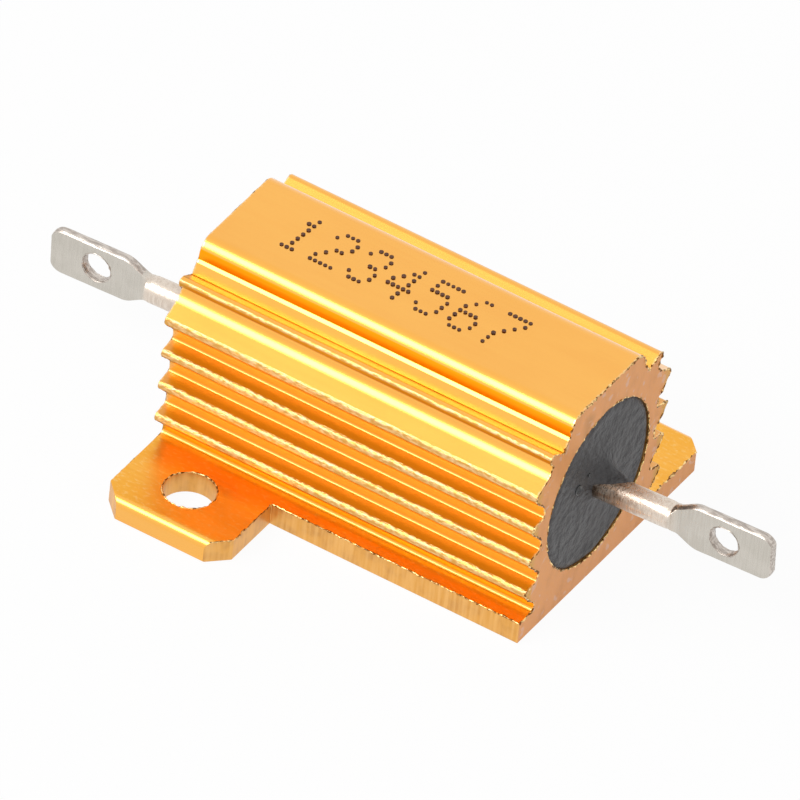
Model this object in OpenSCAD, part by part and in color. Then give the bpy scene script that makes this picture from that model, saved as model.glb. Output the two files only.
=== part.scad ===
// Power resistor in a finned aluminium housing, about 25 W, for a chassis or heat sink.
// Millimetres. The origin is under the middle of the housing, on its mounting face.
// +X runs along the terminals, +Y across the fins, +Z up to the flat marked top.

/* [Housing] */
// Length of the housing between its two sawn ends
body_length = 27; // [20:0.1:35]
// Height of the housing from the mounting face to the flat top
body_height = 15.4; // [14:0.05:18.6]
// Width over the fin tips
body_width = 15.4; // [14.6:0.1:20]
// Width over the two mounting tabs
tab_width = 27.3; // [24:0.1:36]
// Width of the milled foot between the tabs
foot_width = 16.1; // [15.6:0.1:20]
// Thickness of the foot and of its tabs
foot_thickness = 1.6; // [1.2:0.1:2.4]
// Diameter of the bore for the wound element
bore_diameter = 11.56; // [10:0.02:11.8]
// Radius at the upper long edges of the tabs
foot_edge_radius = 0.45; // [0.1:0.05:0.7]

/* [Fins] */
// Number of full fins on each side
fins = 4; // [3:1:4]
// How far a full fin stands out of the side wall
fin_depth = 1.2; // [0.8:0.05:1.5]
// Thickness of a fin at its tip
fin_tip = 0.42; // [0.34:0.02:0.5]
// How far the top of a fin falls from the wall to its tip
fin_fall = 0.2; // [0:0.05:0.3]
// Slope of the underside of a fin
fin_slope = 44.5; // [38:0.5:50]
// Radius of the upper edge of the fin tips
fin_radius = 0.28; // [0.1:0.02:0.3]
// Radius of the hollow between the uppermost full fin and the rail
hollow_radius = 1.3; // [0.4:0.05:1.35]
// Width of the flat strip on top that carries the marking
top_width = 8.3; // [6:0.1:9]
// Radius of the two long edges of the top strip
top_radius = 1.1; // [0.4:0.05:1.15]

/* [Mounting] */
// Distance between the two mounting holes along the housing
hole_spacing_x = 18.3; // [14:0.1:22]
// Distance between the two mounting holes across the housing
hole_spacing_y = 20.2; // [19:0.1:26]
// Diameter of the mounting holes
hole_diameter = 3.4; // [2.5:0.1:4]
// Size of the corner cuts on the tabs
tab_chamfer = 1.3; // [0.5:0.1:2]

/* [Element] */
// Diameter of the ceramic core
core_diameter = 5.2; // [3:0.1:6]
// Height of the element axis above the mounting face
axis_height = 6.8; // [6.4:0.05:8]
// Tilt of the potted element in its bore, rising towards the right terminal
element_tilt = 2.8; // [0:0.1:3]
// Wall thickness of the pressed steel end caps
cap_wall = 0.4; // [0.2:0.05:0.6]
// Depth of core inside each end cap
cap_grip = 3; // [2:0.1:4]
// Diameter of the resistance wire
winding_wire = 0.3; // [0.2:0.05:0.4]
// Turns of resistance wire on the bare core
turns = 18; // [6:1:24]
// Depth of each end of the moulding below the sawn face
moulding_recess = 0.25; // [0.1:0.05:0.6]

/* [Terminals] */
// Overall length over the two terminals
overall_length = 52.2; // [46:0.1:60]
// Diameter of the round terminal wire
lead_diameter = 1.8; // [1:0.05:2.2]
// Height of the flattened blade
blade_height = 3.35; // [2.6:0.05:4]
// Thickness of the flattened blade
blade_thickness = 0.65; // [0.4:0.05:1]
// Length of the flattened blade
blade_length = 6.7; // [5:0.1:9]
// Corner radius of the blade
blade_radius = 0.8; // [0.3:0.05:1]
// Length over which the wire widens into the blade
blade_flare = 1.9; // [1:0.1:2.4]
// Diameter of the eye in the blade
eye_diameter = 1.95; // [1:0.05:2.2]

/* [Hidden] */
half_length = body_length / 2;
half_fin = body_width / 2;
half_wall = half_fin - fin_depth;
half_tab = tab_width / 2;
half_foot = foot_width / 2;
half_top = top_width / 2;
bore_radius = bore_diameter / 2;
// The bore leaves a slightly thicker wall above it than below
bore_height = (body_height - 0.5) / 2;
// The full fins stand at one even pitch between the foot and the narrow rail
low_fin_height = foot_thickness + 2.42;
top_fin_height = body_height - 3.68;
fin_pitch = (top_fin_height - low_fin_height) / (fins - 1);
fin_drop = fin_fall + fin_tip + fin_depth * tan(fin_slope);
// The narrow rail above the full fins
rail_tip = half_wall - 0.05;
rail_height = body_height - 1.7;
// A tab reaches as far inwards from its hole as it does outwards
tab_length = body_length - hole_spacing_x + 0.3;
core_radius = core_diameter / 2;
cap_radius = core_radius + cap_wall;
wire_radius = winding_wire / 2;
lead_radius = lead_diameter / 2;
// The end faces of the caps leave room for the head of each lead in the moulding
cap_end = half_length - moulding_recess - 2.75;
core_half = cap_end - cap_wall;
cap_open = core_half - cap_grip;
// Small clearances: of the wire to its neighbours, and of round pieces in their seats
wire_gap = 0.02;
seat_gap = 0.01;
// The even turns lie between the two caps, with half a turn to climb on each side
on_cap = cap_open - wire_radius - wire_gap;
pitch = 2 * on_cap / (turns + 1);
coil_radius = core_radius + wire_radius + wire_gap;
coil_on_cap = cap_radius + wire_radius + wire_gap;
// The wire is drawn in short straight steps, set out so that none cuts into the core
steps_per_turn = 20;
wire_sides = 8;
chord = 1 / cos(180 / steps_per_turn);
cap_pitch = max(pitch, winding_wire + 0.2);
head_radius = lead_radius + 0.35;
head_length = 0.4;
tip = overall_length / 2;
blade_start = tip - blade_length;
eye_at = tip - 3.35;
step_length = 0.45;

// Colours of the pieces
gold = [0.93, 0.60, 0.22];
black = [0.20, 0.20, 0.20];
white = [0.90, 0.88, 0.84];
nickel = [0.62, 0.58, 0.54];
steel = [0.70, 0.71, 0.72];
tin = [0.80, 0.78, 0.74];

function unit(v) = v / norm(v);

// Points of the arc of radius r that rounds corner q between its neighbours p and s
function rounded(p, q, s, r, steps = 4) =
    let (
        u = unit(p - q),
        v = unit(s - q),
        half = acos(u * v) / 2,
        centre = q + unit(u + v) * r / sin(half),
        first = q + u * r / tan(half) - centre,
        last = q + v * r / tan(half) - centre,
        from = atan2(first.y, first.x),
        turn = atan2(last.y, last.x) - from,
        sweep = turn > 180 ? turn - 360 : turn < -180 ? turn + 360 : turn
    )
    [for (i = [0:steps])
        centre + r * [cos(from + sweep * i / steps), sin(from + sweep * i / steps)]];

// Outline with every corner [y, z, radius] rounded, and corners of no radius kept
function outline(corners) =
    let (n = len(corners))
    [for (i = [0:n - 1])
        let (
            a = corners[(i + n - 1) % n],
            b = corners[i],
            c = corners[(i + 1) % n]
        )
        each b[2] == 0 ? [[b[0], b[1]]] : rounded([a[0], a[1]], [b[0], b[1]], [c[0], c[1]], b[2])];

// One fin: its root, its tip and the foot of its sloping underside
function fin_corners(root, z) = [
    root,
    [half_fin, z - fin_fall, fin_radius],
    [half_fin, z - fin_fall - fin_tip, 0.12],
    [half_wall, z - fin_drop, 0.4]
];

// Right half of the section, from the top strip down to the edge of the foot
right_side = concat(
    [
        [half_top, body_height, top_radius],
        [half_top + 0.05, body_height - 1.35, 0.35],
        [half_top + 0.75, body_height - 2.2, 0.1],
        [rail_tip - 0.4, rail_height + 0.15, 0.4],
        [rail_tip, rail_height, 0.2],
        [rail_tip, rail_height - 0.4, 0.15],
        [half_wall - 0.4, rail_height - 0.96, 0.04]
    ],
    [for (i = [fins - 1:-1:0])
        let (z = low_fin_height + i * fin_pitch)
        each fin_corners(
            i == fins - 1 ? [half_wall - 0.2, z + 0.5, hollow_radius] : [half_wall, z, 0.2],
            z
        )],
    [
        [half_wall, foot_thickness, 0.3],
        [half_tab, foot_thickness, foot_edge_radius],
        [half_tab, 0, 0.12]
    ]
);

left_side = [for (i = [len(right_side) - 1:-1:0])
    [-right_side[i][0], right_side[i][1], right_side[i][2]]];

// Half of the outline of the foot seen from above; the other half is the same, turned round
foot_half = [
    [-half_length, -half_tab + tab_chamfer],
    [-half_length + tab_chamfer, -half_tab],
    [-half_length + tab_length - tab_chamfer, -half_tab],
    [-half_length + tab_length, -half_tab + tab_chamfer],
    [-half_length + tab_length, -half_foot],
    [half_length, -half_foot]
];

// Lays a shape drawn along +Z down along +X, with its drawn x to +Y and drawn y to +Z
module along_x() {
    rotate([90, 0, 90])
        children();
}

// Puts a piece drawn about the X axis in the place of the tilted element
module in_element() {
    translate([0, 0, axis_height])
        rotate([0, -element_tilt, 0])
            children();
}

module section() {
    polygon(outline(concat(right_side, left_side)));
}

module foot_outline() {
    polygon(concat(foot_half, [for (p = foot_half) -p]));
}

// Extruded housing, with the foot milled away beside the two tabs, then bored and drilled
module housing() {
    color(gold)
        difference() {
            intersection() {
                translate([-half_length, 0, 0])
                    along_x()
                        linear_extrude(body_length)
                            section();
                translate([0, 0, -1])
                    linear_extrude(body_height + 2)
                        foot_outline();
            }
            translate([-half_length - 1, 0, bore_height])
                along_x()
                    cylinder(h = body_length + 2, r = bore_radius, $fn = 64);
            for (side = [-1, 1])
                translate([side * hole_spacing_x / 2, side * hole_spacing_y / 2, -1])
                    cylinder(h = foot_thickness + 2, r = hole_diameter / 2, $fn = 48);
        }
}

// Space in the moulding for the wound core, its caps and the heads of the leads
module element_space() {
    reach = on_cap + cap_pitch + wire_radius + wire_gap;
    outer = (coil_on_cap + wire_radius) * chord + wire_gap;
    head = cap_end + head_length;
    round_head = head_radius + seat_gap;
    round_cap = cap_radius + seat_gap;
    rotate([0, 90, 0])
        rotate_extrude($fn = 64)
            polygon([
                [0, -head],
                [round_head, -head],
                [round_head, -cap_end],
                [round_cap, -cap_end],
                [round_cap, -reach],
                [outer, -reach],
                [outer, reach],
                [round_cap, reach],
                [round_cap, cap_end],
                [round_head, cap_end],
                [round_head, head],
                [0, head]
            ]);
}

// Black moulding that fills the bore round the element
module moulding() {
    inner = half_length - moulding_recess;
    color(black)
        difference() {
            translate([-inner, 0, bore_height])
                along_x()
                    cylinder(h = 2 * inner, r = bore_radius - seat_gap, $fn = 64);
            in_element() {
                element_space();
                translate([-half_length - 2, 0, 0])
                    along_x()
                        cylinder(h = body_length + 4, r = lead_radius + seat_gap, $fn = 48);
            }
        }
}

module core() {
    color(white)
        in_element()
            translate([-core_half, 0, 0])
                along_x()
                    cylinder(h = 2 * core_half, r = core_radius, $fn = 48);
}

// Point number i of the wire's round section where it has made t turns from the middle
function wire_point(t, i) =
    let (
        beyond = abs(t) - turns / 2,
        climbed = min(max(2 * beyond, 0), 1),
        rise = climbed * climbed * (3 - 2 * climbed) * (coil_on_cap - coil_radius),
        x = beyond < 0.5 ? pitch * t : sign(t) * (on_cap + (beyond - 0.5) * cap_pitch),
        round_wire = 360 * i / wire_sides,
        r = (coil_radius + rise + wire_radius * cos(round_wire)) * chord
    )
    [x + wire_radius * sin(round_wire), r * sin(360 * t), r * cos(360 * t)];

// Resistance wire: even turns on the core, half a turn up to each cap, one turn on it
module winding() {
    n = wire_sides;
    rings = (turns + 3) * steps_per_turn;
    ends = turns / 2 + 1.5;
    color(nickel)
        in_element()
            polyhedron(
                points = [for (k = [0:rings], i = [0:n - 1])
                    wire_point(-ends + k / steps_per_turn, i)],
                faces = concat(
                    [[for (i = [0:n - 1]) i]],
                    [for (k = [0:rings - 1], i = [0:n - 1])
                        [k * n + i, (k + 1) * n + i, (k + 1) * n + (i + 1) % n]],
                    [for (k = [0:rings - 1], i = [0:n - 1])
                        [k * n + i, (k + 1) * n + (i + 1) % n, k * n + (i + 1) % n]],
                    [[for (i = [n - 1:-1:0]) rings * n + i]]
                )
            );
}

// Steel cup pressed over one end of the core
module end_cap(side) {
    inner = side > 0 ? cap_open : -cap_end;
    bore_from = side > 0 ? cap_open - 1 : -core_half;
    color(steel)
        in_element()
            difference() {
                translate([inner, 0, 0])
                    along_x()
                        cylinder(h = cap_grip + cap_wall, r = cap_radius, $fn = 48);
                translate([bore_from, 0, 0])
                    along_x()
                        cylinder(h = cap_grip + 1, r = core_radius + seat_gap, $fn = 48);
            }
}

// Half width of the wire where it has flared by a share t of the flare, and its half
// thickness where it has been pressed by a share t of the step
function flared(t) = lead_radius + (blade_height / 2 - lead_radius) * t * t * (3 - 2 * t);
function pressed(t) = blade_thickness / 2
    + (lead_radius - blade_thickness / 2) * (1 - sin(90 * t));

// Side view of the flattened end, drawn towards +X
module blade_side() {
    half = blade_height / 2;
    upper = concat(
        [for (k = [0:12])
            [blade_start - step_length + k / 12 * blade_flare, flared(k / 12)]],
        rounded([0, half], [tip, half], [tip, 0], blade_radius, 6)
    );
    polygon(concat(upper, [for (k = [len(upper) - 1:-1:0]) [upper[k][0], -upper[k][1]]]));
}

// Top view of the flattened end, drawn towards +X
module blade_plan() {
    upper = concat(
        [for (k = [0:6]) [blade_start - step_length * (1 - k / 6), pressed(k / 6)]],
        [[tip + 1, pressed(1)]]
    );
    polygon(concat(upper, [for (k = [len(upper) - 1:-1:0]) [upper[k][0], -upper[k][1]]]));
}

// Headed copper wire, tinned, with its outer end pressed flat and punched
module terminal(side) {
    color(tin)
        in_element()
            rotate([0, 0, side > 0 ? 0 : 180])
                difference() {
                    union() {
                        translate([cap_end, 0, 0])
                            along_x()
                                cylinder(h = head_length, r = head_radius, $fn = 48);
                        translate([cap_end, 0, 0])
                            along_x()
                                cylinder(
                                    h = blade_start - step_length - cap_end,
                                    r = lead_radius,
                                    $fn = 48
                                );
                        intersection() {
                            translate([0, lead_radius, 0])
                                rotate([90, 0, 0])
                                    linear_extrude(lead_diameter)
                                        blade_side();
                            translate([0, 0, -blade_height])
                                linear_extrude(2 * blade_height)
                                    blade_plan();
                        }
                    }
                    translate([eye_at, lead_radius + 1, 0])
                        rotate([90, 0, 0])
                            cylinder(h = lead_diameter + 2, r = eye_diameter / 2, $fn = 48);
                }
}

housing();
moulding();
core();
winding();
end_cap(-1);  // end_cap_left
end_cap(1);  // end_cap_right
terminal(-1);  // terminal_left
terminal(1);  // terminal_right
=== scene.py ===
"""Finned aluminium power resistor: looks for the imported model."""
import math

import bmesh
import bpy
import numpy as np
from mathutils import Matrix, Vector, noise


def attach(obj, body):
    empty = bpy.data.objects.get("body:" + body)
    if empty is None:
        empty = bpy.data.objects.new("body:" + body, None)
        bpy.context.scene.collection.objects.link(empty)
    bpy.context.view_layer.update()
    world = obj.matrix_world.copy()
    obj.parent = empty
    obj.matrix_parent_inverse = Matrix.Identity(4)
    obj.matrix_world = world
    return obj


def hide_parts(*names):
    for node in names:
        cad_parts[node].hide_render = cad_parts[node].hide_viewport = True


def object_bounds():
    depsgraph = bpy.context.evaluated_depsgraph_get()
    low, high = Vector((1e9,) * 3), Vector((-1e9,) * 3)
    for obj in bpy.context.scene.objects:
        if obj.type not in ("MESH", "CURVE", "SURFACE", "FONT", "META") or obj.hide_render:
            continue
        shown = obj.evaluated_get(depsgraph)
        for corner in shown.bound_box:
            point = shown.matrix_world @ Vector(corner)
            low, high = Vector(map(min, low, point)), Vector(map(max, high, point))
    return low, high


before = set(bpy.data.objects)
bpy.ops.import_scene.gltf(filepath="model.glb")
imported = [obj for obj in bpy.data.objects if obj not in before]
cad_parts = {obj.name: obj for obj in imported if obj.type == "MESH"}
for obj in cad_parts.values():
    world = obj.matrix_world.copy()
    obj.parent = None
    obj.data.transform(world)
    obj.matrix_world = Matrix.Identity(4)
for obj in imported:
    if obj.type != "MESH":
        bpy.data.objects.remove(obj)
CAD_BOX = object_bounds()
MM = 0.001
INSET = 1e-6  # metres by which each piece stays inside the box of the solids

# Sizes in millimetres, the same as in the part's source
HALF_LENGTH = 13.5
HEIGHT = 15.4
HALF_TAB = 13.65
HALF_FOOT = 8.05
FOOT = 1.6
BORE_R = 5.78
BORE_Z = (HEIGHT - 0.5) / 2
HALF_FIN = 7.7
FIN_DEPTH = 1.2
FIN_TIP = 0.42
FIN_FALL = 0.2
FIN_R = 0.28
FIN_SLOPE = math.radians(44.5)
FINS = 4
LOW_FIN = FOOT + 2.42
TOP_FIN = HEIGHT - 3.68
HOLLOW_R = 1.3
HALF_WALL = HALF_FIN - FIN_DEPTH
HALF_RAIL, RAIL = HALF_WALL - 0.05, HEIGHT - 1.7
TOP_R = 1.1
HOLE_X, HOLE_Y, HOLE_R = 9.15, 10.1, 1.7
TAB_CUT = 1.3
TAB_LENGTH = 9.0
AXIS_Z = 6.8
ELEMENT_TILT = math.radians(2.8)
LEAD_R = 0.9
CAP_END = HALF_LENGTH - 0.25 - 2.75
HEAD_R, HEAD_LENGTH = LEAD_R + 0.35, 0.4
TIP = 26.1
BLADE_HALF, BLADE_T, BLADE_LENGTH, BLADE_R = 1.675, 0.65, 6.7, 0.8
FLARE, STEP = 1.9, 0.45
EYE_AT, EYE_R = TIP - 3.35, 0.975

# Sizes in millimetres that are the look's own, and differ from the part's source
FOOT_EDGE = 0.62  # radius of the foot's edge, rounder than in the source
HALF_TOP = 4.22  # half of the top strip, a little wider than in the source
TOP_SUNK = 0.07  # how far the flat top strip lies below the top of the solids
BROKEN_EDGE = 0.045
TIP_BREAK, TIP_ROUND = 0.1, 0.09
PINCH, PINCH_REACH = 0.07, 0.16


# ---------------------------------------------------------------- section of the extrusion

def rounded(p, q, s, r, steps):
    """Points of the arc of radius r that rounds corner q between its neighbours p and s."""
    p, q, s = (np.array(v, float) for v in (p, q, s))
    u, v = (p - q) / np.linalg.norm(p - q), (s - q) / np.linalg.norm(s - q)
    half = math.acos(float(np.clip(u @ v, -1, 1))) / 2
    centre = q + (u + v) / np.linalg.norm(u + v) * r / math.sin(half)
    first, last = q + u * r / math.tan(half) - centre, q + v * r / math.tan(half) - centre
    start = math.atan2(first[1], first[0])
    turn = (math.atan2(last[1], last[0]) - start + math.pi) % (2 * math.pi) - math.pi
    return [centre + r * np.array([math.cos(start + turn * i / steps),
                                   math.sin(start + turn * i / steps)]) for i in range(steps + 1)]


def outline(corners, steps=7):
    """Closed outline from corners [y, z, radius]."""
    points = []
    for i, (y, z, r) in enumerate(corners):
        before, after = corners[i - 1], corners[(i + 1) % len(corners)]
        if r == 0:
            points.append(np.array([y, z]))
        else:
            points += rounded(before[:2], (y, z), after[:2], r, steps)
    return points


def side_corners(foot_reach, foot_radius):
    """Corners [y, z, radius] of one side of the section, from the top strip to the foot."""
    pitch = (TOP_FIN - LOW_FIN) / (FINS - 1)
    drop = FIN_FALL + FIN_TIP + FIN_DEPTH * math.tan(FIN_SLOPE)
    corners = [
        (HALF_TOP, HEIGHT - TOP_SUNK, TOP_R),
        (HALF_TOP + 0.08, HEIGHT - 1.32, 0.12),
        (HALF_TOP + 0.27, HEIGHT - 1.51, 0.1),
        (HALF_TOP + 0.68, HEIGHT - 2.2, 0.08),
        (HALF_RAIL - 0.4, RAIL + 0.15, 0.4),
        (HALF_RAIL, RAIL, 0.2),
        (HALF_RAIL - 0.1, RAIL - 0.42, 0.1),
        (HALF_WALL - 0.5, RAIL - 0.78, 0.04),
    ]
    for i in reversed(range(FINS)):
        z = LOW_FIN + i * pitch
        hollow = i == FINS - 1
        corners += [
            (HALF_WALL - 0.32, z + 0.62, HOLLOW_R) if hollow else (HALF_WALL, z, 0.2),
            (HALF_FIN, z - FIN_FALL, FIN_R),
            (HALF_FIN, z - FIN_FALL - FIN_TIP, 0.12),
            (HALF_WALL, z - drop, 0.4),
        ]
    return corners + [(HALF_WALL, FOOT, 0.3), (foot_reach, FOOT, foot_radius),
                      (foot_reach, 0, 0.12 if foot_radius else 0)]


def section(reach_plus, reach_minus, radius):
    """Closed section outline with its foot reaching to +reach_plus and -reach_minus."""
    plus = side_corners(reach_plus, radius)
    minus = [(-y, z, r) for y, z, r in reversed(side_corners(reach_minus, radius))]
    return outline(plus + minus)


# ---------------------------------------------------------------- helpers for meshes

def new_object(name, data):
    obj = bpy.data.objects.new(name, data)
    bpy.context.scene.collection.objects.link(obj)
    return obj


def mesh_from(name, points, faces):
    mesh = bpy.data.meshes.new(name)
    mesh.from_pydata([tuple(c * MM for c in p) for p in points], [], faces)
    mesh.validate()
    return mesh


def prism(name, points, axis, low, high):
    """Prism between low and high along axis 'x' or 'z', from a closed outline."""
    place = {"x": lambda p, h: (h, p[0], p[1]), "z": lambda p, h: (p[0], p[1], h)}[axis]
    n = len(points)
    verts = [place(p, low) for p in points] + [place(p, high) for p in points]
    faces = [tuple(range(n))[::-1], tuple(range(n, 2 * n))]
    faces += [(i, (i + 1) % n, n + (i + 1) % n, n + i) for i in range(n)]
    mesh = mesh_from(name, verts, faces)
    outwards(mesh)
    return new_object(name, mesh)


def outwards(mesh):
    """Joins doubled points and turns every face outwards."""
    bm = bmesh.new()
    bm.from_mesh(mesh)
    bmesh.ops.remove_doubles(bm, verts=bm.verts, dist=1e-8)
    bmesh.ops.recalc_face_normals(bm, faces=bm.faces)
    bm.to_mesh(mesh)
    bm.free()


def circle(cx, cy, r, n):
    return [(cx + r * math.cos(2 * math.pi * i / n), cy + r * math.sin(2 * math.pi * i / n))
            for i in range(n)]


def flatten(obj):
    """Applies every modifier by replacing the object's mesh with its evaluated one."""
    bpy.context.view_layer.update()
    graph = bpy.context.evaluated_depsgraph_get()
    mesh = bpy.data.meshes.new_from_object(obj.evaluated_get(graph))
    obj.modifiers.clear()
    old = obj.data
    obj.data = mesh
    bpy.data.meshes.remove(old)
    mesh.name = obj.name
    return obj


def ring_faces(first, rows, n):
    """Quads between closed rows of n points, whose first point has the index first."""
    return [(first + i * n + k, first + i * n + (k + 1) % n,
             first + (i + 1) * n + (k + 1) % n, first + (i + 1) * n + k)
            for i in range(rows - 1) for k in range(n)]


def soften(mesh, sharp=None):
    """Smooth shading; edges that turn by more than the given degrees stay sharp."""
    for polygon in mesh.polygons:
        polygon.use_smooth = True
    if sharp:
        mesh.set_sharp_from_angle(angle=math.radians(sharp))


def cut(obj, operation, *tools):
    """Cuts the object with other objects, which are used up."""
    for tool in tools:
        m = obj.modifiers.new("cut", "BOOLEAN")
        m.operation, m.solver, m.object = operation, "EXACT", tool
    flatten(obj)
    for tool in tools:
        bpy.data.objects.remove(tool)


def finish_piece(obj, slot, *nodes):
    """Keeps the piece inside the box of the solids, and hands it over."""
    low, high = CAD_BOX
    for vertex in obj.data.vertices:
        vertex.co = [min(max(v, a + INSET), b - INSET) for v, a, b in zip(vertex.co, low, high)]
    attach(obj, "root")
    if nodes:
        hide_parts(*nodes)


# ---------------------------------------------------------------- node helpers

def add(tree, kind, **values):
    node = tree.nodes.new(kind)
    for key, value in values.items():
        setattr(node, key, value)
    return node


def put(tree, target, source):
    """Sets an input to a number or colour, or links it to an output."""
    if isinstance(source, bpy.types.NodeSocket):
        tree.links.new(source, target)
    else:
        target.default_value = source


def maths(tree, operation, a, b=0.0, clamp=False):
    node = add(tree, "ShaderNodeMath", operation=operation, use_clamp=clamp)
    put(tree, node.inputs[0], a)
    put(tree, node.inputs[1], b)
    return node.outputs[0]


def blend_colour(tree, factor, a, b):
    node = add(tree, "ShaderNodeMix", data_type="RGBA")
    put(tree, node.inputs[0], factor)
    put(tree, node.inputs[6], a)
    put(tree, node.inputs[7], b)
    return node.outputs[2]


def ramp(tree, value, low, high):
    """Goes from 0 at low to 1 at high."""
    node = add(tree, "ShaderNodeMapRange", clamp=True, interpolation_type="SMOOTHSTEP")
    for key, v in zip(("Value", "From Min", "From Max"), (value, low, high)):
        put(tree, node.inputs[key], v)
    return node.outputs[0]


def object_point(tree):
    return add(tree, "ShaderNodeTexCoord").outputs["Object"]


def place_of(tree):
    """The place on the object as three outputs: along, across and up."""
    split = add(tree, "ShaderNodeSeparateXYZ")
    tree.links.new(object_point(tree), split.inputs[0])
    return split.outputs


def fade(tree, value, low, high):
    """Goes from 1 at low to 0 at high."""
    return maths(tree, "SUBTRACT", 1.0, ramp(tree, value, low, high))


def node_group(name, kind, inputs, outputs):
    """Node group with inputs (label, kind, default) and outputs (label, kind)."""
    group = bpy.data.node_groups.new(name, kind)
    for label, socket_type, default in inputs:
        socket = group.interface.new_socket(label, in_out="INPUT", socket_type=socket_type)
        if default is not None:
            socket.default_value = default
    for label, socket_type in outputs:
        group.interface.new_socket(label, in_out="OUTPUT", socket_type=socket_type)
    return group, group.nodes.new("NodeGroupInput"), group.nodes.new("NodeGroupOutput")


def use(tree, group, **values):
    """Node that runs a group, with its inputs set or linked."""
    node = add(tree, "ShaderNodeGroup", node_tree=group)
    for key, value in values.items():
        put(tree, node.inputs[key.replace("_", " ")], value)
    return node


def grain_group():
    """Streaks or specks: noise on object coordinates, stretched by a scale on each axis."""
    tree, given, out = node_group(
        "grain", "ShaderNodeTree",
        [("Scale", "NodeSocketVector", (1000, 1000, 1000)), ("Detail", "NodeSocketFloat", 3.0),
         ("Low", "NodeSocketFloat", 0.35), ("High", "NodeSocketFloat", 0.65),
         ("Height", "NodeSocketFloat", 0.00001)],
        [("Mask", "NodeSocketFloat"), ("Normal", "NodeSocketVector")])
    scaled = add(tree, "ShaderNodeVectorMath", operation="MULTIPLY")
    tree.links.new(object_point(tree), scaled.inputs[0])
    tree.links.new(given.outputs["Scale"], scaled.inputs[1])
    cloud = add(tree, "ShaderNodeTexNoise", noise_dimensions="3D")
    cloud.inputs["Scale"].default_value = 1.0
    tree.links.new(scaled.outputs[0], cloud.inputs["Vector"])
    tree.links.new(given.outputs["Detail"], cloud.inputs["Detail"])
    spread = add(tree, "ShaderNodeMapRange", clamp=True, interpolation_type="SMOOTHSTEP")
    tree.links.new(cloud.outputs["Fac"], spread.inputs["Value"])
    tree.links.new(given.outputs["Low"], spread.inputs["From Min"])
    tree.links.new(given.outputs["High"], spread.inputs["From Max"])
    bump = add(tree, "ShaderNodeBump")
    bump.inputs["Strength"].default_value = 1.0
    tree.links.new(given.outputs["Height"], bump.inputs["Distance"])
    tree.links.new(spread.outputs[0], bump.inputs["Height"])
    tree.links.new(spread.outputs[0], out.inputs["Mask"])
    tree.links.new(bump.outputs[0], out.inputs["Normal"])
    return tree


def rim_group():
    """Ragged band of wear that starts at the sawn ends and fades towards the middle."""
    tree, given, out = node_group(
        "rim wear", "ShaderNodeTree",
        [("Reach", "NodeSocketFloat", 0.0002), ("Ragged", "NodeSocketFloat", 0.0002),
         ("Fine", "NodeSocketFloat", 4000.0)],
        [("Mask", "NodeSocketFloat")])
    point = object_point(tree)
    split = add(tree, "ShaderNodeSeparateXYZ")
    tree.links.new(point, split.inputs[0])
    depth = maths(tree, "SUBTRACT", HALF_LENGTH * MM, maths(tree, "ABSOLUTE", split.outputs[0]))
    cloud = add(tree, "ShaderNodeTexNoise")
    tree.links.new(point, cloud.inputs["Vector"])
    tree.links.new(given.outputs["Fine"], cloud.inputs["Scale"])
    cloud.inputs["Detail"].default_value = 2.0
    ragged = maths(tree, "MULTIPLY", maths(tree, "SUBTRACT", cloud.outputs["Fac"], 0.5),
                   given.outputs["Ragged"])
    past = maths(tree, "ADD", depth, ragged)
    share = maths(tree, "DIVIDE", past, given.outputs["Reach"])
    tree.links.new(maths(tree, "SUBTRACT", 1.0, share, clamp=True), out.inputs["Mask"])
    return tree


GRAIN = grain_group()
RIM = rim_group()


def material(name, colour, metallic, roughness, **constants):
    mat = bpy.data.materials.new(name)
    mat.use_nodes = True
    tree = mat.node_tree
    shader = tree.nodes["Principled BSDF"]
    shader.inputs["Base Color"].default_value = (*colour, 1)
    shader.inputs["Metallic"].default_value = metallic
    shader.inputs["Roughness"].default_value = roughness
    for key, value in constants.items():
        shader.inputs[key.replace("_", " ")].default_value = value
    return mat, tree, shader


def paint(tree, shader, mask, first, second, *coats):
    """Colour that goes from first to second by a mask, under coats of other colours.

    A coat is (colour, mask) or (colour, mask, share), and covers what lies before it.
    """
    base = blend_colour(tree, mask, (*first, 1), (*second, 1))
    for colour, cover, *share in coats:
        factor = maths(tree, "MULTIPLY", cover, *share) if share else cover
        base = blend_colour(tree, factor, base, (*colour, 1))
    put(tree, shader.inputs["Base Color"], base)


def roughen(tree, shader, mask, low, high):
    """Roughness that goes from low to high by a mask."""
    put(tree, shader.inputs["Roughness"],
        maths(tree, "ADD", low, maths(tree, "MULTIPLY", mask, high - low)))


def normals(tree, shader, *sources):
    """Chains bump normals by adding them and normalising."""
    total = sources[0]
    for other in sources[1:]:
        node = add(tree, "ShaderNodeVectorMath", operation="ADD")
        tree.links.new(total, node.inputs[0])
        tree.links.new(other, node.inputs[1])
        total = node.outputs[0]
    if len(sources) > 1:
        node = add(tree, "ShaderNodeVectorMath", operation="NORMALIZE")
        tree.links.new(total, node.inputs[0])
        total = node.outputs[0]
    tree.links.new(total, shader.inputs["Normal"])


# ---------------------------------------------------------------- materials

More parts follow.
